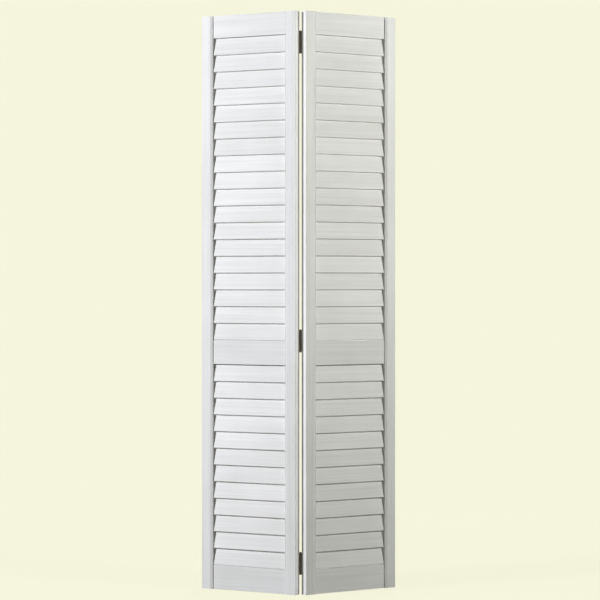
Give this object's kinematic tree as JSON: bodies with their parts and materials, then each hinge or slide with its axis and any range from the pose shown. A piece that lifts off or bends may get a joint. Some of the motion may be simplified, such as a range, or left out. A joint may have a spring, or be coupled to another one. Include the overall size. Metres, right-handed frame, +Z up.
{
  "type": "bifold closet door",
  "caption": "Louvred folding closet door: two leaves of stiles, rails and fixed slats, hinged together, with sprung top pins and an adjustable foot pivot.",
  "frame": {"origin": "on the floor, under the middle of the folded door's outline", "axes": "+Z up, -Y towards the room, where the fold points; the pivot leaf is on -X and the lead leaf on +X"},
  "size_m": [0.6806, 0.2128, 2.0066],
  "materials": {
    "primed_wood": "white primer, satin",
    "bronzed_steel": "dark bronze, satin",
    "spring_steel": "zinc plated",
    "nylon": "moulded nylon"
  },
  "bodies": {
    "pivot_leaf": {"pivot_leaf_jamb_stile": "primed_wood", "pivot_leaf_hinge_stile": "primed_wood", "pivot_leaf_bottom_rail": "primed_wood", "pivot_leaf_mid_rail": "primed_wood", "pivot_leaf_top_rail": "primed_wood", "pivot_leaf_lower_slat_01": "primed_wood", "pivot_leaf_lower_slat_02": "primed_wood", "pivot_leaf_lower_slat_03": "primed_wood", "pivot_leaf_lower_slat_04": "primed_wood", "pivot_leaf_lower_slat_05": "primed_wood", "pivot_leaf_lower_slat_06": "primed_wood", "pivot_leaf_lower_slat_07": "primed_wood", "pivot_leaf_lower_slat_08": "primed_wood", "pivot_leaf_lower_slat_09": "primed_wood", "pivot_leaf_lower_slat_10": "primed_wood", "pivot_leaf_lower_slat_11": "primed_wood", "pivot_leaf_lower_slat_12": "primed_wood", "pivot_leaf_upper_slat_01": "primed_wood", "pivot_leaf_upper_slat_02": "primed_wood", "pivot_leaf_upper_slat_03": "primed_wood", "pivot_leaf_upper_slat_04": "primed_wood", "bottom_hinge_pivot_leaf_plate": "bronzed_steel", "bottom_hinge_pin": "bronzed_steel", "middle_hinge_pivot_leaf_plate": "bronzed_steel", "middle_hinge_pin": "bronzed_steel", "top_hinge_pivot_leaf_plate": "bronzed_steel", "top_hinge_pin": "bronzed_steel", "top_pivot_sleeve": "nylon", "top_pivot_spring": "spring_steel", "bottom_pivot_sleeve": "nylon"},
    "lead_leaf": {"lead_leaf_lead_stile": "primed_wood", "lead_leaf_hinge_stile": "primed_wood", "lead_leaf_bottom_rail": "primed_wood", "lead_leaf_mid_rail": "primed_wood", "lead_leaf_top_rail": "primed_wood", "lead_leaf_lower_slat_01": "primed_wood", "lead_leaf_lower_slat_02": "primed_wood", "lead_leaf_lower_slat_03": "primed_wood", "lead_leaf_lower_slat_04": "primed_wood", "lead_leaf_lower_slat_05": "primed_wood", "lead_leaf_lower_slat_06": "primed_wood", "lead_leaf_lower_slat_07": "primed_wood", "lead_leaf_lower_slat_08": "primed_wood", "lead_leaf_lower_slat_09": "primed_wood", "lead_leaf_lower_slat_10": "primed_wood", "lead_leaf_lower_slat_11": "primed_wood", "lead_leaf_lower_slat_12": "primed_wood", "lead_leaf_upper_slat_01": "primed_wood", "lead_leaf_upper_slat_02": "primed_wood", "lead_leaf_upper_slat_03": "primed_wood", "lead_leaf_upper_slat_04": "primed_wood", "bottom_hinge_lead_leaf_plate": "bronzed_steel", "middle_hinge_lead_leaf_plate": "bronzed_steel", "top_hinge_lead_leaf_plate": "bronzed_steel", "track_guide_sleeve": "nylon", "track_guide_spring": "spring_steel"},
    "top_pivot_pin": {"top_pivot_plunger": "nylon"},
    "track_guide_pin": {"track_guide_plunger": "nylon"},
    "bottom_pivot": {"bottom_pivot_stud": "spring_steel"}
  },
  "joints": [
    {"name": "fold", "type": "hinge", "parent": "pivot_leaf", "child": "lead_leaf", "pos_m": [0, -0.07816, 0], "axis": [0, 0, 1], "range_deg": [-60.8, 118]},
    {"name": "top_pivot_slide", "type": "slide", "parent": "pivot_leaf", "child": "top_pivot_pin", "axis": [0, 0, 1], "range_m": [0, 0.019], "deforming": ["top_pivot_spring"]},
    {"name": "track_guide_slide", "type": "slide", "parent": "lead_leaf", "child": "track_guide_pin", "axis": [0, 0, 1], "range_m": [0, 0.019], "deforming": ["track_guide_spring"]},
    {"name": "bottom_pivot_slide", "type": "slide", "parent": "pivot_leaf", "child": "bottom_pivot", "axis": [0, 0, 1], "range_m": [-0.02, 0]}
  ]
}
